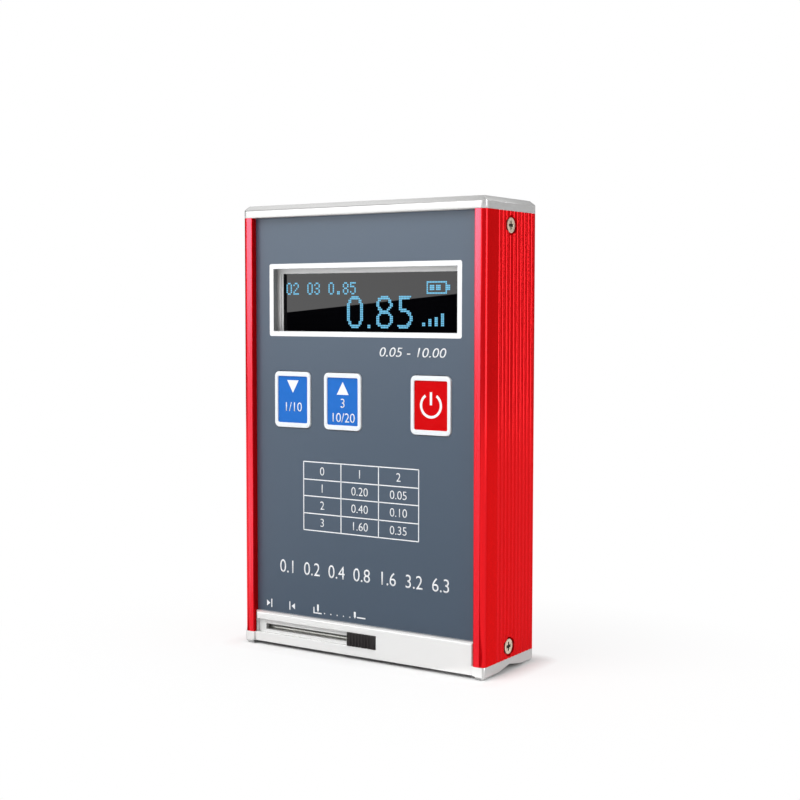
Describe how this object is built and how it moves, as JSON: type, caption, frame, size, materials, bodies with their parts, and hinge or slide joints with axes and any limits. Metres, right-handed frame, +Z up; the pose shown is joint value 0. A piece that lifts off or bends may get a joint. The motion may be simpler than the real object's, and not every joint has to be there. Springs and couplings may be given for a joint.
{
  "type": "surface roughness tester",
  "caption": "Pocket surface roughness tester: red extruded case with light end caps, display window, keys, and a sliding knob that opens the stylus under a grooved base.",
  "frame": {"origin": "middle of the base, on the plane of the feet", "axes": "+X to the right seen from the front, +Y to the back, +Z up"},
  "size_m": [0.07, 0.024, 0.11],
  "materials": {
    "red_anodised": "bright red anodised extrusion, fine satin",
    "light_metal": "light silver anodised, satin",
    "grey_panel": "matt blue-grey print",
    "steel": "bright steel",
    "display_grey": "light grey frame",
    "display_black": "glossy black display glass",
    "board_green": "green board",
    "brass": "plain brass",
    "black_plastic": "black, fine grain",
    "foam": "dark foam tape",
    "battery_foil": "grey foil",
    "white_plastic": "white, satin",
    "red_wire": "red wire cover",
    "key_blue": "blue print",
    "key_red": "red print"
  },
  "bodies": {
    "housing": {"body_shell": "red_anodised", "top_cap": "light_metal", "bottom_cap": "light_metal", "front_panel": "grey_panel", "side_screws": "steel", "display_frame": "display_grey", "display_glass": "display_black", "display_board": "board_green", "display_spacers": "brass", "display_header": "black_plastic", "main_board": "board_green", "processor_chip": "black_plastic", "amplifier_chip": "black_plastic", "charge_socket": "steel", "battery_pad": "foam", "battery_cell": "battery_foil", "battery_plug": "white_plastic", "battery_leads": "red_wire", "key_switch_left": "black_plastic", "key_switch_middle": "black_plastic", "key_switch_power": "black_plastic", "shutter_rod": "steel", "drive_frame": "light_metal", "drive_screws": "steel", "guide_rods": "steel", "screw_bush": "brass", "drive_gearbox": "brass", "drive_motor": "steel"},
    "key_left": {"key_cap_left": "white_plastic", "key_label_left": "key_blue", "key_plunger_left": "white_plastic"},
    "key_middle": {"key_cap_middle": "white_plastic", "key_label_middle": "key_blue", "key_plunger_middle": "white_plastic"},
    "key_power": {"key_cap_power": "white_plastic", "key_label_power": "key_red", "key_plunger_power": "white_plastic"},
    "shutter": {"shutter_knob": "black_plastic", "shutter_runner": "black_plastic", "shutter_plate": "steel"},
    "lead_screw": {"lead_screw": "steel"},
    "carriage": {"carriage": "black_plastic", "lead_nut": "brass", "pickup_body": "light_metal", "pivot_pin": "steel", "sensor_coil": "brass"},
    "stylus": {"stylus_arm": "steel", "stylus_tip": "steel"}
  },
  "joints": [
    {"name": "key_left_press", "type": "slide", "parent": "housing", "child": "key_left", "axis": [0, 1, 0], "range_m": [0, 0.0005], "stiffness_N_per_m": 2500, "springref_m": -0.0001},
    {"name": "key_middle_press", "type": "slide", "parent": "housing", "child": "key_middle", "axis": [0, 1, 0], "range_m": [0, 0.0005], "stiffness_N_per_m": 2500, "springref_m": -0.0001},
    {"name": "key_power_press", "type": "slide", "parent": "housing", "child": "key_power", "axis": [0, 1, 0], "range_m": [0, 0.0005], "stiffness_N_per_m": 2500, "springref_m": -0.0001},
    {"name": "shutter_slide", "type": "slide", "parent": "housing", "child": "shutter", "axis": [-1, 0, 0], "range_m": [0, 0.0274]},
    {"name": "lead_turn", "type": "hinge", "parent": "housing", "child": "lead_screw", "pos_m": [0, 0.0033, 0.0148], "axis": [1, 0, 0], "range_deg": [0, 2160]},
    {"name": "pickup_traverse", "type": "slide", "parent": "housing", "child": "carriage", "axis": [1, 0, 0], "range_m": [0, 0.006]},
    {"name": "stylus_lift", "type": "hinge", "parent": "carriage", "child": "stylus", "pos_m": [-0.0033, 0, 0.0075], "axis": [0, 1, 0], "range_deg": [0, 10.8]}
  ],
  "couplings": [
    {"joint": "stylus_lift", "follows": "shutter_slide", "rad_per_m": 6.87},
    {"joint": "lead_turn", "follows": "pickup_traverse", "rad_per_m": 6283.1}
  ]
}
